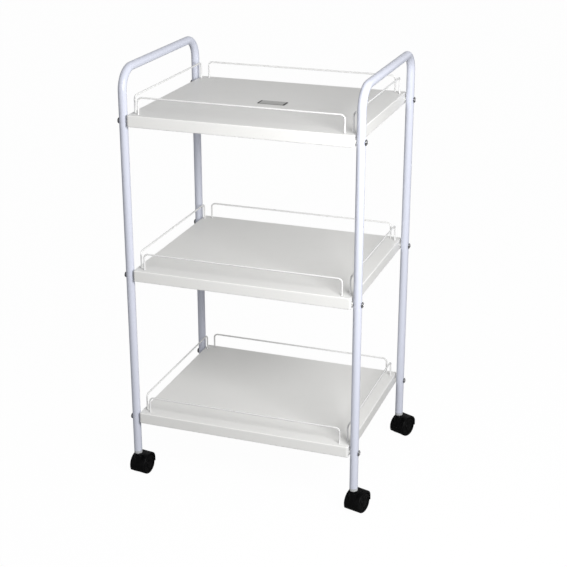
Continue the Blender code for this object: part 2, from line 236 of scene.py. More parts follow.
tarnishStops = [(0.48, 0.0), (0.70, 1.0)]  # where the plating starts to dull, and where it is fully dull


def platedMetal(name, finish):
    # bright plating, with fine turning marks round the piece's own axis, and painted shade darkening its rim
    sheet = newSheet(name)
    place = sheet.spot()
    stretched = sheet.add("ShaderNodeMapping", None, {"Vector": place, "Scale": finish["grain"]}, 0)
    marks = sheet.noise(stretched, 1.0, detail=3.0, roughness=0.6)
    spangle = sheet.noise(place, finish["spangleScale"], detail=3.0, roughness=0.65)
    tarnish = sheet.ramp(spangle, tarnishStops)
    plating = sheet.mixColour(tarnish * finish["tarnish"], finish["colour"], finish["dull"])
    return sheet.principled({
        # painted shade: the rim, furthest from the piece's axis, is mixed towards a near-black colour
        "Base Color": sheet.mixColour(paintedEdgeShade(sheet, place, finish), plating, finish["edgeShade"]),
        "Metallic": 1.0,
        "Roughness": finish["roughness"] + tarnish * finish["roughSpread"],
        "Normal": sheet.bump(marks, finish["markDepth"]),
    })


chrome = {
    "colour": colour(0.80, 0.80, 0.81), "dull": colour(0.56, 0.56, 0.57), "grain": (300, 300, 5000),
    "spangleScale": 500.0, "tarnish": 0.3, "roughness": 0.09, "roughSpread": 0.12, "markDepth": 0.000015,
    # the near-black colour and the radii of the painted shade at the bolt head's rim
    "edgeShade": colour(0.03, 0.03, 0.032), "edgeShadeFrom": 0.0043, "edgeShadeFull": 0.0055, "edgeShadeMost": 0.92,
}
zinc = {
    "colour": colour(0.66, 0.67, 0.68), "dull": colour(0.46, 0.47, 0.49), "grain": (500, 500, 6000),
    "spangleScale": 900.0, "tarnish": 0.6, "roughness": 0.26, "roughSpread": 0.22, "markDepth": 0.00003,
    # the near-black colour and the radii of the painted shade at the rims of flanges, nuts and push nuts
    "edgeShade": colour(0.07, 0.07, 0.073), "edgeShadeFrom": 0.0038, "edgeShadeFull": 0.0054, "edgeShadeMost": 0.9,
}


mouldLook = {
    "flowScale": 90.0, "flowShade": 0.5, "flowRough": 0.08,
    "scuffScale": 260.0, "scuffStops": [(0.58, 0.0), (0.72, 1.0)], "scuffRough": 0.2,
}


def mouldedPlastic(name, finish):
    # spark-eroded mould texture, faint flow marks, and scattered scuffs
    sheet = newSheet(name)
    place = sheet.spot()
    texture = sheet.noise(place, finish["textureScale"], detail=2.0)
    flow = sheet.noise(place, mouldLook["flowScale"], detail=3.0, roughness=0.6)
    scuffNoise = sheet.noise(place, mouldLook["scuffScale"], detail=5.0, roughness=0.75)
    scuffs = sheet.ramp(scuffNoise, mouldLook["scuffStops"])
    base = sheet.mixColour(flow * mouldLook["flowShade"], finish["colour"], finish["shade"])
    return sheet.principled({
        "Base Color": sheet.mixColour(scuffs * finish["scuffs"], base, finish["scuffColour"]),
        "Roughness": finish["roughness"] + scuffs * mouldLook["scuffRough"] + flow * mouldLook["flowRough"],
        "Specular IOR Level": finish["shine"],
        "Normal": sheet.bump(texture, finish["textureDepth"]),
    })


hoodPlastic = {
    "colour": colour(0.0022, 0.0022, 0.0024), "shade": colour(0.004, 0.004, 0.0042),
    "scuffColour": colour(0.014, 0.014, 0.014), "shine": 0.07,
    "roughness": 0.34, "textureScale": 2600.0, "textureDepth": 0.00002, "scuffs": 0.35,
}
wheelPlastic = {
    "colour": colour(0.002, 0.002, 0.0022), "shade": colour(0.0045, 0.0045, 0.0047),
    "scuffColour": colour(0.022, 0.021, 0.020), "shine": 0.06,
    "roughness": 0.38, "textureScale": 1900.0, "textureDepth": 0.00002, "scuffs": 0.5,
}
collarPlastic = {
    "colour": colour(0.50, 0.51, 0.52), "shade": colour(0.43, 0.44, 0.45),
    "scuffColour": colour(0.32, 0.32, 0.32),
    "roughness": 0.36, "textureScale": 2200.0, "textureDepth": 0.00002, "scuffs": 0.3, "shine": 0.5,
}
nylon = {
    "colour": colour(0.72, 0.72, 0.69), "shade": colour(0.64, 0.64, 0.61),
    "scuffColour": colour(0.42, 0.42, 0.40),
    "roughness": 0.42, "textureScale": 1800.0, "textureDepth": 0.00002, "scuffs": 0.25, "shine": 0.5,
}


labelSize = {
    "halfX": 0.027, "halfY": 0.012, "thick": 0.0006, "corner": 0.002, "leastCorner": 0.0003,
    "edge": 0.00018, "edgeShare": 0.3, "band": 0.0032, "line": 0.0012,
}
labelLook = {
    "silver": colour(0.48, 0.48, 0.47), "paleSilver": colour(0.64, 0.64, 0.627),
    "ink": colour(0.025, 0.025, 0.028), "lineInk": 0.55,
    "brush": (60, 5200, 60), "brushDepth": 0.00001, "brushRough": 0.16,
    "metal": 0.85, "inkLessMetal": 0.8, "roughness": 0.30, "inkRough": 0.12,
}


def labelFoil(name):
    # brushed aluminium, with a dark printed band at each end and a thin dark line along each side
    sheet = newSheet(name)
    place = sheet.spot()
    brushed = sheet.add("ShaderNodeMapping", None, {"Vector": place, "Scale": labelLook["brush"]}, 0)
    strokes = sheet.noise(brushed, 1.0, detail=3.0, roughness=0.7)
    fromMiddleX = sheet.maths("ABSOLUTE", sheet.part(place, 0), 0.0)
    fromMiddleY = sheet.maths("ABSOLUTE", sheet.part(place, 1), 0.0)
    ends = sheet.maths("GREATER_THAN", fromMiddleX, labelSize["halfX"] - labelSize["band"])
    sides = sheet.maths("GREATER_THAN", fromMiddleY, labelSize["halfY"] - labelSize["line"])
    ink = sheet.maths("MAXIMUM", ends, sides * labelLook["lineInk"])
    silver = sheet.mixColour(strokes, labelLook["silver"], labelLook["paleSilver"])
    return sheet.principled({
        "Base Color": sheet.mixColour(ink, silver, labelLook["ink"]),
        "Metallic": labelLook["metal"] - ink * labelLook["inkLessMetal"],
        "Roughness": labelLook["roughness"] + strokes * labelLook["brushRough"] + ink * labelLook["inkRough"],
        "Normal": sheet.bump(strokes, labelLook["brushDepth"]),
    })


finishes = {
    "frame_paint": powderCoat("framePaint", framePaint),
    "tray_paint": powderCoat("trayPaint", trayPaint),
    "rail_paint": powderCoat("railPaint", railPaint),
    "bolt_chrome": platedMetal("boltChrome", chrome),
    "stem_zinc": platedMetal("stemZinc", zinc),
    "socket_plastic": mouldedPlastic("collarPlastic", collarPlastic),
    "caster_plastic": mouldedPlastic("hoodPlastic", hoodPlastic),
    "label_plate": labelFoil("labelFoil"),
}
wheelFinish = mouldedPlastic("wheelPlastic", wheelPlastic)
nylonFinish = mouldedPlastic("spacerNylon", nylon)
print("finishes made: %d" % (len(finishes) + 2))


# Mesh work
smoothAngle = 32.0  # degrees. An edge that bends more is drawn sharp


def arc(middlePoint, radius, start, end, steps, first, second):
    # points from start to end, in degrees, in the plane of first and second
    angles = [math.radians(start + (end - start) * k / steps) for k in range(steps + 1)]
    return [middlePoint + radius * (math.cos(a) * first + math.sin(a) * second) for a in angles]


def arcFlat(centre, radius, start, end, steps):
    # the same for plain pairs of numbers
    angles = [math.radians(start + (end - start) * k / steps) for k in range(steps + 1)]
    return [(centre[0] + radius * math.cos(a), centre[1] + radius * math.sin(a)) for a in angles]


def loft(rings, closed=False):
    made = bmesh.new()
    verts = [[made.verts.new(point) for point in ring] for ring in rings]
    pairs = list(zip(verts, verts[1:]))
    if closed:
        pairs.append((verts[-1], verts[0]))
    for one, other in pairs:
        for i in range(len(one)):
            j = (i + 1) % len(one)
            made.faces.new((one[i], one[j], other[j], other[i]))
    if not closed:
        made.faces.new(verts[0])
        made.faces.new(verts[-1])
    return made


def toMesh(made, name, sharp=smoothAngle):
    bmesh.ops.recalc_face_normals(made, faces=made.faces)
    mesh = bpy.data.meshes.new(name)
    made.to_mesh(mesh)
    made.free()
    mesh.shade_smooth()
    mesh.set_sharp_from_angle(angle=math.radians(sharp))
    return mesh


def turned(profile, sides, closed=False, reach=None):
    # (height, radius) pairs turned about Z. reach(ring, angle, radius) may change a radius on the way round
    rings = []
    for number, (height, radius) in enumerate(profile):
        ring = []
        for k in range(sides):
            angle = 2 * math.pi * k / sides
            out = reach(number, angle, radius) if reach else radius
            ring.append((out * math.cos(angle), out * math.sin(angle), height))
        rings.append(ring)
    return loft(rings, closed)


def swept(stations, sides, sideAxis):
    # stations are (point, way the tube runs, radius)
    rings = []
    for point, along, radius in stations:
        other = sideAxis.cross(along)
        turns = [2 * math.pi * k / sides for k in range(sides)]
        rings.append([point + radius * (math.cos(a) * sideAxis + math.sin(a) * other) for a in turns])
    return rings


def uBends(halfWidth, top, radius, steps, sideways):
    # points and directions round the two bends of an upside-down U
    stations = []
    for side, firstAngle in ((-1, math.pi), (1, math.pi / 2)):
        centre = side * (halfWidth - radius) * sideways + (top - radius) * up
        for k in range(steps + 1):
            angle = firstAngle - math.pi / 2 * k / steps
            point = centre + radius * (math.cos(angle) * sideways + math.sin(angle) * up)
            stations.append((point, math.sin(angle) * sideways - math.cos(angle) * up))
    return stations


def addRod(made, centre, radius, length, axis, sides):
    turn = up.rotation_difference(axis).to_matrix().to_4x4()
    bmesh.ops.create_cone(made, cap_ends=True, segments=sides, radius1=radius, radius2=radius,
                          depth=length, matrix=Matrix.Translation(centre) @ turn)


def carve(mesh, tool, operation="DIFFERENCE"):
    # the mesh after an exact Boolean with the tool's mesh
    work = bpy.data.objects.new("carveWork", mesh)
    cutter = bpy.data.objects.new("carveTool", tool)
    for obj in (work, cutter):
        bpy.context.scene.collection.objects.link(obj)
    modifier = work.modifiers.new("carve", "BOOLEAN")
    modifier.operation = operation
    modifier.solver = "EXACT"
    modifier.object = cutter
    bpy.context.view_layer.update()
    graph = bpy.context.evaluated_depsgraph_get()
    made = bpy.data.meshes.new_from_object(work.evaluated_get(graph))
    for obj in (work, cutter):
        bpy.data.objects.remove(obj)
    made.materials.clear()
    made.shade_smooth()
    made.set_sharp_from_angle(angle=math.radians(smoothAngle))
    return made


def weldShort(mesh, distance=0.00002):
    # joins points that a Boolean leaves almost on top of each other
    made = bmesh.new()
    made.from_mesh(mesh)
    bmesh.ops.remove_doubles(made, verts=made.verts, dist=distance)
    bmesh.ops.dissolve_degenerate(made, dist=distance, edges=made.edges)
    return toMesh(made, mesh.name)


def addPiece(name, mesh, finish, body, place, nodes=(), evenNormals=False):
    piece = bpy.data.objects.new(name, mesh)
    bpy.context.scene.collection.objects.link(piece)
    piece.matrix_world = place
    if not mesh.materials:
        mesh.materials.append(finish)
    if evenNormals:
        modifier = piece.modifiers.new("evenNormals", "WEIGHTED_NORMAL")
        modifier.keep_sharp = True
    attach(piece, body)
    if nodes:
        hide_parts(*nodes)


# Side frames: one bent tube each, open at both feet and drilled for its bolts
tube = {
    "wall": 0.0012, "bend": 0.040, "sides": 48, "bendSteps": 16, "rim": 0.0003, "drill": 0.0028,
    "drillSides": 32, "boltDown": 0.013,
}


def tubeStations(radius, foot, bolts):
    around = 0.006  # a ring above and below each bolt keeps the drilled hole from marking the long faces
    heights = [foot + tube["rim"]] + sorted(z + step for z in bolts for step in (-around, around))
    front = [(-postY * back + z * up, up, radius) for z in heights]
    behind = [(postY * back + z * up, -up, radius) for z in reversed(heights)]
    bends = uBends(postY, tubeHigh.z - tubeRadius, tube["bend"], tube["bendSteps"], back)
    return front + [(point, along, radius) for point, along in bends] + behind


def tubeMesh():
    foot, rim = tubeLow.z, tube["rim"]
    bolts = [trayTop(level).z - tube["boltDown"] for level in levels]
    ends = [(side * postY * back + foot * up, -side * up, tubeRadius - rim) for side in (-1, 1)]
    outside = [ends[0]] + tubeStations(tubeRadius, foot, bolts) + [ends[1]]
    inRadius = tubeRadius - tube["wall"]
    insideEnds = [(point, along, inRadius) for point, along, _ in ends]
    inside = [insideEnds[0]] + tubeStations(inRadius, foot, bolts) + [insideEnds[1]]
    rings = swept(outside, tube["sides"], across) + swept(inside, tube["sides"], across)[::-1]
    made = toMesh(loft(rings, closed=True), "sideTube")
    drills = bmesh.new()
    for z in bolts:
        for side in (-1, 1):
            centre = side * postY * back + z * up
            addRod(drills, centre, tube["drill"], 4 * tubeRadius, across, tube["drillSides"])
    return carve(made, toMesh(drills, "drills"))


sideTube = tubeMesh()
for side in ("left", "right"):
    spot = middle(f"side_frame_{side}")
    addPiece(f"sideTube_{side}", sideTube, finishes["frame_paint"], "frame",
             Matrix.Translation((spot.x, spot.y, 0)), [f"side_frame_{side}"])
print("side frames made")


# Trays: folded sheet with round folds, a hem, and holes for rails and bolts
tray = {
    "sheet": 0.001, "fold": 0.002, "hemFold": 0.0015, "hem": 0.008, "lip": 0.022, "cornerRadius": 0.004,
    "leastCorner": 0.0006, "support": 0.0007, "flatFrom": 0.030, "outlineSteps": 8,
}
rail = {
    "wire": 0.0016, "up": 0.032, "bend": 0.008, "bead": 0.0028, "beadHigh": 0.0016, "tail": 0.0021,
    "longHalf": 0.195, "longOut": 0.167, "sideHalf": 0.155, "sideOut": 0.207, "sides": 20, "bendSteps": 12,
    "tipShare": 0.7, "tipHigh": 0.0004, "beadSteps": 6,
}


def roundedOutline(halfX, halfY, radius, steps):
    points = []
    for quarter, (signX, signY) in enumerate(((1, 1), (-1, 1), (-1, -1), (1, -1))):
        centre = Vector((signX * (halfX - radius), signY * (halfY - radius)))
        for k in range(steps + 1):
            angle = math.pi / 2 * (quarter + k / steps)
            points.append(centre + radius * Vector((math.cos(angle), math.sin(angle))))
    return points


def traySection():
    # (distance in from the outline, height), from the hem's edge, round the outside to the flat,
    # and back along the inside
    sheet, fold, hemFold, bottom = tray["sheet"], tray["fold"], tray["hemFold"], -tray["lip"]
    support, flatFrom = fold + tray["support"], tray["flatFrom"]  # rings that keep the flat's shading flat
    hemEdge = arcFlat((tray["hem"] - sheet / 2, bottom + sheet / 2), sheet / 2, 90, -90, steps=6)
    hemOut = arcFlat((hemFold, bottom + hemFold), hemFold, -90, -180, steps=6)
    topOut = arcFlat((fold, -fold), fold, 180, 90, steps=8)
    outer = hemEdge + hemOut + topOut + [(support, 0.0), (flatFrom, 0.0)]
    topIn = arcFlat((fold, -fold), fold - sheet, 90, 180, steps=6)
    hemIn = arcFlat((hemFold, bottom + hemFold), hemFold - sheet, 180, 270, steps=5)
    inner = [(flatFrom, -sheet), (support, -sheet)] + topIn + hemIn
    return outer, inner


def trayMesh():
    low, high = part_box("tray_top")
    halfX, halfY = (high.x - low.x) / 2, (high.y - low.y) / 2
    outer, inner = traySection()
    made = bmesh.new()
    verts = []
    for inset, z in outer + inner:
        radius = max(tray["cornerRadius"] - inset, tray["leastCorner"])
        outline = roundedOutline(halfX - inset, halfY - inset, radius, tray["outlineSteps"])
        verts.append([made.verts.new((p.x, p.y, z)) for p in outline])
    flat = len(outer) - 1
    count = len(verts[0])
    for k in range(len(verts)):
        if k == flat:
            continue
        one, other = verts[k], verts[(k + 1) % len(verts)]
        for i in range(count):
            j = (i + 1) % count
            made.faces.new((one[i], one[j], other[j], other[i]))
    made.faces.new(verts[flat])
    made.faces.new(verts[flat + 1])
    drills = bmesh.new()
    for x, y in railFeet():
        addRod(drills, Vector((x, y, 0)), rail["wire"] + gap, length=0.006, axis=up, sides=24)
    for signX in (-1, 1):
        for signY in (-1, 1):
            centre = Vector((signX * halfX, signY * postY, -tube["boltDown"]))
            addRod(drills, centre, tube["drill"], length=0.008, axis=across, sides=tube["drillSides"])
    return carve(toMesh(made, "trayPan"), toMesh(drills, "trayDrills"))


def railFeet():
    longFeet = [(sx * rail["longHalf"], sy * rail["longOut"]) for sx in (-1, 1) for sy in (-1, 1)]
    sideFeet = [(sx * rail["sideOut"], sy * rail["sideHalf"]) for sx in (-1, 1) for sy in (-1, 1)]
    return longFeet + sideFeet


trayPan = trayMesh()
for level in levels:
    addPiece(f"trayPan_{level}", trayPan, finishes["tray_paint"], "frame", Matrix.Translation(trayTop(level)),
             [f"tray_{level}"], evenNormals=True)
print("trays made")


# Wire rails, each leg with a bead of coating where it meets the tray, and a push nut under the sheet
def railMesh(halfLength):
    wire = rail["wire"]
    under = -tray["sheet"] - rail["tail"]
    foot = [(under, wire * rail["tipShare"]), (under + rail["tipHigh"], wire), (gap, wire)]
    for k in range(rail["beadSteps"] + 1):
        share = k / rail["beadSteps"]
        height = gap + (rail["beadHigh"] - gap) * share
        foot.append((height, wire + (rail["bead"] - wire) * (1 - share) ** 2))
    legs = [(-halfLength * across + z * up, up, radius) for z, radius in foot]
    legsDown = [(halfLength * across + z * up, -up, radius) for z, radius in reversed(foot)]
    bends = uBends(halfLength, rail["up"], rail["bend"], rail["bendSteps"], across)
    stations = legs + [(point, along, wire) for point, along in bends] + legsDown
    return toMesh(loft(swept(stations, rail["sides"], back)), "wireRail")


pushNut = {
    "radius": 0.0040, "sheet": 0.00035, "dish": 0.0007, "dishRadius": 0.0030, "hole": 0.00168,
    "slot": 0.0029, "slotShare": 0.2, "teeth": 6, "turnStep": 0.7,
}


def pushNutMesh():
    # a dished spring-steel disc whose hole is slit into teeth
    top = -tray["sheet"] - gap
    rim = top - pushNut["sheet"]
    down = rim - pushNut["dish"] + pushNut["sheet"]
    profile = [
        (down, pushNut["hole"]), (rim, pushNut["dishRadius"]), (rim, pushNut["radius"]),
        (top, pushNut["radius"]), (top, pushNut["dishRadius"]), (down + pushNut["sheet"], pushNut["hole"]),
    ]
    holeRings = (0, len(profile) - 1)

    def slits(number, angle, radius):
        share = (angle * pushNut["teeth"] / (2 * math.pi)) % 1
        return pushNut["slot"] if number in holeRings and share < pushNut["slotShare"] else radius

    return toMesh(turned(profile, 60, closed=True, reach=slits), "pushNut", sharp=25.0)


def makeRails():
    longRail, sideRail, nut = railMesh(rail["longHalf"]), railMesh(rail["sideHalf"]), pushNutMesh()
    ways = {
        "front": (longRail, (0, -rail["longOut"]), 0), "back": (longRail, (0, rail["longOut"]), 0),
        "left": (sideRail, (-rail["sideOut"], 0), 90), "right": (sideRail, (rail["sideOut"], 0), 90),
    }
    for level in levels:
        top = trayTop(level)
        for side, (mesh, (x, y), degrees) in ways.items():
            spot = Matrix.Translation(top + Vector((x, y, 0)))
            place = spot @ Matrix.Rotation(math.radians(degrees), 4, "Z")
            addPiece(f"wireRail_{level}_{side}", mesh, finishes["rail_paint"], "frame", place,
                     [f"rail_{level}_{side}"])
        for number, (x, y) in enumerate(railFeet()):
            spot = Matrix.Translation(top + Vector((x, y, 0)))
            place = spot @ Matrix.Rotation(number * pushNut["turnStep"], 4, "Z")
            addPiece(f"pushNut_{level}_{number + 1}", nut, finishes["stem_zinc"], "frame", place,
                     ())


makeRails()
print("rails made")


# Bolts: a domed head with a cross recess outside the post, a spacer between post and tray,
# and a nut inside the lip
bolt = {
    "radius": 0.0025, "headRadius": 0.0055, "headHigh": 0.0032, "headBand": 0.0005, "crossLong": 0.0050,
    "crossWide": 0.00095, "crossDeep": 0.0017, "spacer": 0.0015, "spacerRadius": 0.0045,
    "nutThick": 0.004, "nutFlat": 0.004, "nutPlay": 0.0001, "tail": 0.0025, "pitch": 0.0008,
    "threadDeep": 0.0004, "threadPast": 0.0006, "tipHigh": 0.0004, "tipIn": 0.0006,
    "headBevel": 0.0002, "domeSteps": 12, "crossFootLong": 0.42, "crossFootWide": 0.75, "turnStep": 1.3,
}


def boltMesh():
    # along Z, with z = 0 at the post's axis and the head at the top
    seat = tubeRadius + gap
    dome = []
    rise = bolt["headHigh"] - bolt["headBand"]
    for k in range(bolt["domeSteps"]):
        angle = math.pi / 2 * k / bolt["domeSteps"]
        dome.append((seat + bolt["headBand"] + rise * math.sin(angle), bolt["headRadius"] * math.cos(angle)))
    end = lipInner() - bolt["nutThick"] - bolt["tail"]
    thread = []
    z = end + bolt["tipHigh"]
    while z < lipInner() + bolt["threadPast"]:
        thread += [(z, bolt["radius"] - bolt["threadDeep"]), (z + bolt["pitch"] / 2, bolt["radius"])]
        z += bolt["pitch"]
    profile = [(end, bolt["radius"] - bolt["tipIn"])] + thread
    profile += [(seat, bolt["radius"]), (seat, bolt["headRadius"] - bolt["headBevel"])]
    profile += [(seat + bolt["headBevel"], bolt["headRadius"])]
    made = toMesh(turned(profile + dome, 40), "bolt")
    return carve(made, toMesh(crossTool(seat + bolt["headHigh"]), "cross"))


def crossTool(top):
    # one closed cross-shaped plug, narrower at its foot
    rings = []
    foot = (top - bolt["crossDeep"], bolt["crossFootLong"], bolt["crossFootWide"])
    mouth = (top + bolt["crossDeep"], 1.0, 1.0)
    for height, longShare, wideShare in (foot, mouth):
        long, wide = bolt["crossLong"] / 2 * longShare, bolt["crossWide"] / 2 * wideShare
        ring = []
        for quarter in range(4):
            turn = Matrix.Rotation(quarter * math.pi / 2, 3, "Z")
            for x, y in ((long, -wide), (long, wide), (wide, wide)):
                ring.append(turn @ Vector((x, y, height)))
        rings.append(ring)
    return loft(rings)


def lipInner():
    # how far inwards of the post's axis the tray lip's inner face lies, as a height on the bolt
    post = postAxis("front_right").x
    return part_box("tray_top")[1].x - tray["sheet"] - post - gap


def spacerMesh():
    near, far = -tubeRadius - gap, -tubeRadius - gap - bolt["spacer"]
    bevel, bore, rim = 0.0002, bolt["radius"] + gap, bolt["spacerRadius"]
    profile = [
        (far, bore), (far, rim - bevel), (far + bevel, rim),
        (near - bevel, rim), (near, rim - bevel), (near, bore),
    ]
    return toMesh(turned(profile, 40, closed=True), "spacer")


def nutMesh():
    top = lipInner()
    low, chamfer = top - bolt["nutThick"], 0.0005
    hexRings = (2, 3)
    bore = bolt["radius"] + bolt["nutPlay"]

    def sixSided(number, angle, radius):
        if number not in hexRings:
            return radius
        return radius / math.cos((angle + math.pi / 6) % (math.pi / 3) - math.pi / 6)

    flat = bolt["nutFlat"]
    profile = [
        (low, bore), (low, flat), (low + chamfer, flat), (top - chamfer, flat), (top, flat), (top, bore),
    ]
    return toMesh(turned(profile, 48, closed=True, reach=sixSided), "hexNut", sharp=25.0)


def makeBolts():
    boltShape, spacer, nut = boltMesh(), spacerMesh(), nutMesh()
    number = 0
    for level in levels:
        for corner in corners:
            number += 1
            post = postAxis(corner)
            outward = Vector((-1 if corner.endswith("left") else 1, 0, 0))
            place = Matrix.Translation(post + (trayTop(level).z - tube["boltDown"]) * up)
            place = place @ up.rotation_difference(outward).to_matrix().to_4x4()
            twist = place @ Matrix.Rotation(number * bolt["turnStep"], 4, "Z")
            addPiece(f"screw_{level}_{corner}", boltShape, finishes["bolt_chrome"], "frame", twist,
                     [f"bolt_{level}_{corner}"])
            addPiece(f"spacer_{level}_{corner}", spacer, nylonFinish, "frame", place)
            addPiece(f"hexNut_{level}_{corner}", nut, finishes["stem_zinc"], "frame", twist, ())


makeBolts()
print("bolts made")


# Label plate, blank
def makeLabel():
    rings = []
    edge, thick = labelSize["edge"], labelSize["thick"]
    part = edge * labelSize["edgeShare"]
    for inset, z in ((0, 0), (0, thick - edge), (part, thick - part), (edge, thick)):
        corner = max(labelSize["corner"] - inset, labelSize["leastCorner"])
        outline = roundedOutline(labelSize["halfX"] - inset, labelSize["halfY"] - inset, corner, steps=6)
        rings.append([(p.x, p.y, z) for p in outline])
    spot, low = middle("label_plate"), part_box("label_plate")[0]
    addPiece("labelPanel", toMesh(loft(rings), "labelPanel"), finishes["label_plate"], "frame",
             Matrix.Translation((spot.x, spot.y, low.z)), ["label_plate"], evenNormals=True)


makeLabel()
print("label made")


# Casters, in their own frame: the swivel axis is Z, the axle runs along X, +Y is the way they trail
caster = {
    "webHalf": 0.006, "half": 0.0165, "well": 0.0212, "hood": 0.0230, "rearRadius": 0.016, "rearDrop": 0.001,
    "bossRadius": 0.0093, "bossLow": 0.030, "bossTop": 0.0470, "round": 0.0009, "axle": 0.0025,
    "stem": 0.004, "pin": 0.0035, "stemFoot": 0.020, "flange": 0.0055, "hoodIn": 0.0005, "hoodEnd": 205,
    "seatRadius": 0.0062, "seatRim": 0.0066, "seatDeep": 0.0006, "blind": 0.0022,
    # the hood's lower edge, as (back, up) from the axle
    "lowerEdge": ((-0.012, -0.0115), (-0.006, -0.0124), (0, -0.0125), (0.005, -0.0110), (0.009, -0.008)),
}


def casterAxle():
    return Vector((0, trailBack, wheelRadius))


def hoodOutline():
    axle = casterAxle()
    rearMiddle = axle + (caster["hood"] - caster["rearRadius"]) * (back + up)
    points = [axle + caster["hood"] * back - caster["rearDrop"] * up]
    points += arc(rearMiddle, caster["rearRadius"], 0, 90, 16, back, up)
    points += arc(axle, caster["hood"], 90, caster["hoodEnd"], 30, back, up)
    for y, z in caster["lowerEdge"]:
        points.append(axle + y * back + z * up)
    return points


def insetOutline(points, distance):
    # each point moved inwards along the bisector of its two edges
    count = len(points)
    moved = []
    for i in range(count):
        before, after = points[i - 1], points[(i + 1) % count]
        along = ((points[i] - before).normalized() + (after - points[i]).normalized()).normalized()
        inward = along.cross(across)
        moved.append(points[i] - distance * inward)
    return moved


def hoodMesh():
    outline = hoodOutline()
    half, edge = caster["half"] - caster["hoodIn"], caster["round"]
    steps = 4
    layers = []
    for k in range(steps + 1):
        angle = math.pi / 2 * k / steps
        layers.append((half - edge + edge * math.cos(angle), edge * (1 - math.sin(angle))))
    layers = layers + [(-x, inset) for x, inset in reversed(layers)]
    rings = []
    for x, inset in layers:
        rings.append([x * across + point for point in insetOutline(outline, inset)])
    body = toMesh(loft(rings), "hoodBody")

    top, rim = caster["bossTop"], 0.0008
    bossProfile = [(caster["bossLow"], caster["bossRadius"])]
    bossProfile += [(z, r) for r, z in arcFlat((caster["bossRadius"] - rim, top - rim), rim, 0, 90, steps=5)]
    bossProfile += [(top, caster["seatRim"]), (top - caster["seatDeep"], caster["seatRadius"])]
    body = carve(body, toMesh(turned(bossProfile, 64), "boss"), "UNION")

    wells, wellLength = bmesh.new(), 0.020
    for side in (-1, 1):
        centre = casterAxle() + side * (caster["webHalf"] + wellLength / 2) * across
        addRod(wells, centre, caster["well"], wellLength, across, sides=96)
    body = carve(body, toMesh(wells, "wells"))

    bores, boreLow, boreHigh = bmesh.new(), caster["stemFoot"] - gap, top + 0.010
    boreMiddle = Vector((0, 0, (boreLow + boreHigh) / 2))
    addRod(bores, boreMiddle, caster["stem"] + gap, boreHigh - boreLow, up, sides=40)
    addRod(bores, casterAxle(), caster["axle"] + gap, 4 * caster["webHalf"], across, sides=32)
    return weldShort(carve(body, toMesh(bores, "bores")))


wheelShape = {
    "clear": 0.0004, "innerFlat": 0.0120, "shoulder": 0.0012, "roundOff": 0.0030,
    "sides": 80, "ribs": 8, "ribSteps": 3, "ribHigh": 0.0008,
    # (depth below the outer face, radius), from the rim in to the middle
    "rim": ((0, 0.0165), (0, 0.0160), (0.0002, 0.0156), (0.0014, 0.0150)),
    "dish": ((0.0016, 0.0144), (0.0016, 0.0112), (0.0016, 0.0080)),
    "hubCap": ((0.0014, 0.0074), (0.0005, 0.0068), (0.0002, 0.0060), (0, 0.0040), (0, 0.0015)),
}


def wheelMesh():
    # about Z, with its inner face down: rounded tread, dished disc with ribs, hub cap, blind bore
    inner, outer, tread = caster["webHalf"] + wheelShape["clear"], caster["half"], wheelRadius
    shoulder, roundOff, sides = wheelShape["shoulder"], wheelShape["roundOff"], wheelShape["sides"]
    boreRadius, boreEnd = caster["axle"] + gap, outer - caster["blind"]
    profile = [(boreEnd, boreRadius), (inner, boreRadius), (inner, wheelShape["innerFlat"])]
    profile += [(z, r) for z, r in arcFlat((inner + shoulder, tread - shoulder), shoulder, 180, 90, steps=5)]
    profile += [(outer - roundOff, tread)]
    profile += [(z, r) for z, r in arcFlat((outer - roundOff, tread - roundOff), roundOff, 80, 10, steps=6)]
    profile += [(outer - deep, radius) for deep, radius in wheelShape["rim"]]
    ribFirst = len(profile)
    profile += [(outer - deep, radius) for deep, radius in wheelShape["dish"]]
    ribLast = len(profile)
    profile += [(outer - deep, radius) for deep, radius in wheelShape["hubCap"]]
    rings = []
    for number, (height, radius) in enumerate(profile):
        ring = []
        for k in range(sides):
            angle = 2 * math.pi * k / sides
            inRib = k % (sides // wheelShape["ribs"]) < wheelShape["ribSteps"]
            onRib = inRib and ribFirst <= number < ribLast
            lift = wheelShape["ribHigh"] if onRib else 0
            ring.append((radius * math.cos(angle), radius * math.sin(angle), height + lift))
        rings.append(ring)
    return toMesh(loft(rings), "casterWheel", sharp=28.0)


def collarMesh():
    # the plastic sleeve in a post's foot, with the collar that the post stands on
    low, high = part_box("socket_front_left")
    collarTop = tubeLow.z - gap
    sleeve, bore = tubeRadius - tube["wall"] - gap, caster["pin"] + gap
    edge, bevel, leadHigh, leadIn = 0.0006, 0.0002, 0.001, 0.0006
    profile = [(low.z, bore)]
    profile += [(z, r) for r, z in arcFlat((tubeRadius - edge, low.z + edge), edge, -90, 0, steps=5)]
    profile += [(collarTop - bevel, tubeRadius), (collarTop, tubeRadius - bevel), (collarTop, sleeve)]
    profile += [(high.z - leadHigh, sleeve), (high.z, sleeve - leadIn), (high.z, bore)]
    return toMesh(turned(profile, 56, closed=True), "collar")


def stemMesh():
    low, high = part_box("stem_front_left")
    stem, pin, flange = caster["stem"], caster["pin"], caster["flange"]
    flangeLow, flangeTop = caster["bossTop"] + gap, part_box("socket_front_left")[0].z - gap
    edge, tip, leadHigh, leadIn = 0.0003, 0.0006, 0.0012, 0.001
    profile = [
        (low.z, stem - tip), (low.z + tip, stem), (flangeLow, stem), (flangeLow, flange - edge),
        (flangeLow + edge, flange), (flangeTop - edge, flange), (flangeTop, flange - edge), (flangeTop, pin),
        (high.z - leadHigh, pin), (high.z, pin - leadIn),
    ]
    return toMesh(turned(profile, 40), "casterStem")


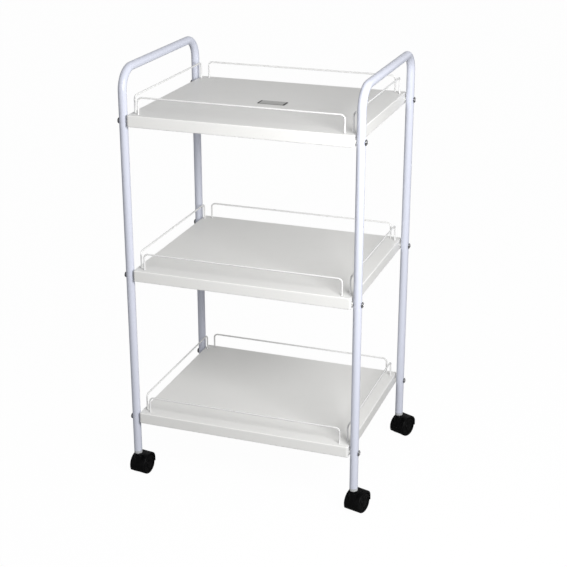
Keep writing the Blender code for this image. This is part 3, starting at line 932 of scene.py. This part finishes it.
def axleMesh():
    half, radius, edge = caster["half"] - caster["blind"] - gap, caster["axle"], 0.0004
    profile = [(-half, radius - edge), (edge - half, radius), (half - edge, radius), (half, radius - edge)]
    return toMesh(turned(profile, 32), "axlePin")


def alreadyTurned(mesh, angle):
    # a copy turned about Z in its own points, so that its box lies square to the trolley
    made = mesh.copy()
    made.transform(Matrix.Rotation(angle, 4, "Z"))
    return made


def makeCasters():
    collar, stem, hood, wheel, axlePin = collarMesh(), stemMesh(), hoodMesh(), wheelMesh(), axleMesh()
    for corner in corners:
        post = Matrix.Translation(postAxis(corner))
        swivel = post @ Matrix.Rotation(casterTurn(corner), 4, "Z")
        hub = swivel @ Matrix.Translation(casterAxle())
        addPiece(f"postCollar_{corner}", collar, finishes["socket_plastic"], "frame", post,
                 [f"socket_{corner}"])
        addPiece(f"casterStem_{corner}", stem, finishes["stem_zinc"], "frame", post,
                 [f"stem_{corner}"])
        addPiece(f"casterHood_{corner}", alreadyTurned(hood, casterTurn(corner)), finishes["caster_plastic"],
                 f"caster_{corner}", post, [f"hood_{corner}"], evenNormals=True)
        addPiece(f"axlePin_{corner}", axlePin, finishes["stem_zinc"], f"caster_{corner}",
                 hub @ Matrix.Rotation(math.pi / 2, 4, "Y"), [f"axle_{corner}"])
        for side, sign in (("left", -1), ("right", 1)):
            place = hub @ Matrix.Rotation(sign * math.pi / 2, 4, "Y")
            addPiece(f"casterWheel_{corner}_{side}", wheel, wheelFinish, f"roller_{corner}_{side}", place,
                     [f"wheel_{corner}_{side}"])


makeCasters()
print("casters made")


# Floor, light and camera
studio = {
    "floor": 0.34, "backdrop": 1.04, "floorShows": 0.94, "zenith": 0.39, "horizon": 0.70,
    "keyPower": 23.0, "keySize": 0.7, "keyPlace": (0.94, -0.94, 1.13), "keyAim": 0.73,
    "azimuth": 19.47, "elevation": 21.2, "distance": 2.583, "lens": 83.3,
    "aimAside": 0.0244, "aimBelowTray": 0.360,
    "floorHalf": 20.0, "mottleScale": 3.0, "mottle": 0.3, "tint": 0.01, "skyMiddle": 0.35, "skyTop": 0.9,
}


def makeFloor():
    # the camera sees a nearly white floor, and the trolley is lit by a duller one. From below it is clear
    sheet = newSheet("paleFloor")
    mottle = sheet.noise(sheet.spot(), studio["mottleScale"], detail=2.0)
    tone, seen = studio["floor"], studio["backdrop"]
    less = tone - studio["tint"]
    paint = sheet.mixColour(mottle * studio["mottle"], colour(tone, tone, tone), colour(less, tone, less))
    lit = sheet.add("ShaderNodeBsdfDiffuse", None, {"Color": paint})
    white = sheet.add("ShaderNodeEmission", None, {"Color": colour(seen, seen, seen)})
    cameraRay = sheet.add("ShaderNodeLightPath", None, None, 0)
    above = sheet.add("ShaderNodeMixShader", None, {0: cameraRay * studio["floorShows"], 1: lit, 2: white})
    clear = sheet.add("ShaderNodeBsdfTransparent")
    fromBelow = sheet.add("ShaderNodeNewGeometry", None, None, 6)
    surface = sheet.add("ShaderNodeMixShader", None, {0: fromBelow, 1: above, 2: clear})
    sheet.add("ShaderNodeOutputMaterial", None, {"Surface": surface})
    made = bmesh.new()
    bmesh.ops.create_grid(made, x_segments=4, y_segments=4, size=studio["floorHalf"])
    mesh = toMesh(made, "floor")
    if mesh.polygons[0].normal.z < 0:
        mesh.flip_normals()
    mesh.materials.append(sheet.owner)
    floor = bpy.data.objects.new("floor", mesh)
    bpy.context.scene.collection.objects.link(floor)


def makeLight():
    world = bpy.data.worlds.new("studio")
    bpy.context.scene.world = world
    sheet = Sheet(world)
    height = sheet.part(sheet.add("ShaderNodeTexCoord", None, None, 0), 2)
    zenith, horizon, seen = studio["zenith"], studio["horizon"], studio["backdrop"]
    between = (studio["skyMiddle"], (zenith + horizon) / 2)
    soft = sheet.ramp(height, [(0.0, horizon), between, (studio["skyTop"], zenith)])
    dome = sheet.add("ShaderNodeBackground", None, {"Color": soft, "Strength": 1.0})
    white = sheet.add("ShaderNodeBackground", None, {"Color": colour(seen, seen, seen), "Strength": 1.0})
    cameraRay = sheet.add("ShaderNodeLightPath", None, None, 0)
    sky = sheet.add("ShaderNodeMixShader", None, {0: cameraRay, 1: dome, 2: white})
    sheet.add("ShaderNodeOutputWorld", None, {"Surface": sky})
    lamp = bpy.data.lights.new("key", "AREA")
    lamp.shape = "DISK"
    lamp.size = studio["keySize"]
    lamp.energy = studio["keyPower"]
    key = bpy.data.objects.new("key", lamp)
    key.location = studio["keyPlace"]
    aim = trolleyMiddle + studio["keyAim"] * up - key.location
    key.rotation_euler = aim.to_track_quat("-Z", "Y").to_euler()
    bpy.context.scene.collection.objects.link(key)


def makeCamera():
    azimuth, elevation = math.radians(studio["azimuth"]), math.radians(studio["elevation"])
    target = trolleyMiddle + studio["aimAside"] * across + (trayTop("top").z - studio["aimBelowTray"]) * up
    away = Vector((math.sin(azimuth) * math.cos(elevation), -math.cos(azimuth) * math.cos(elevation),
                   math.sin(elevation)))
    lens = bpy.data.cameras.new("camera")
    lens.lens = studio["lens"]
    camera = bpy.data.objects.new("camera", lens)
    camera.location = target + studio["distance"] * away
    camera.rotation_euler = (-away).to_track_quat("-Z", "Y").to_euler()
    bpy.context.scene.collection.objects.link(camera)
    bpy.context.scene.camera = camera


makeFloor()
makeLight()
makeCamera()
bpy.context.scene.view_settings.view_transform = "Standard"
print("floor, light and camera set")

bpy.context.view_layer.update()
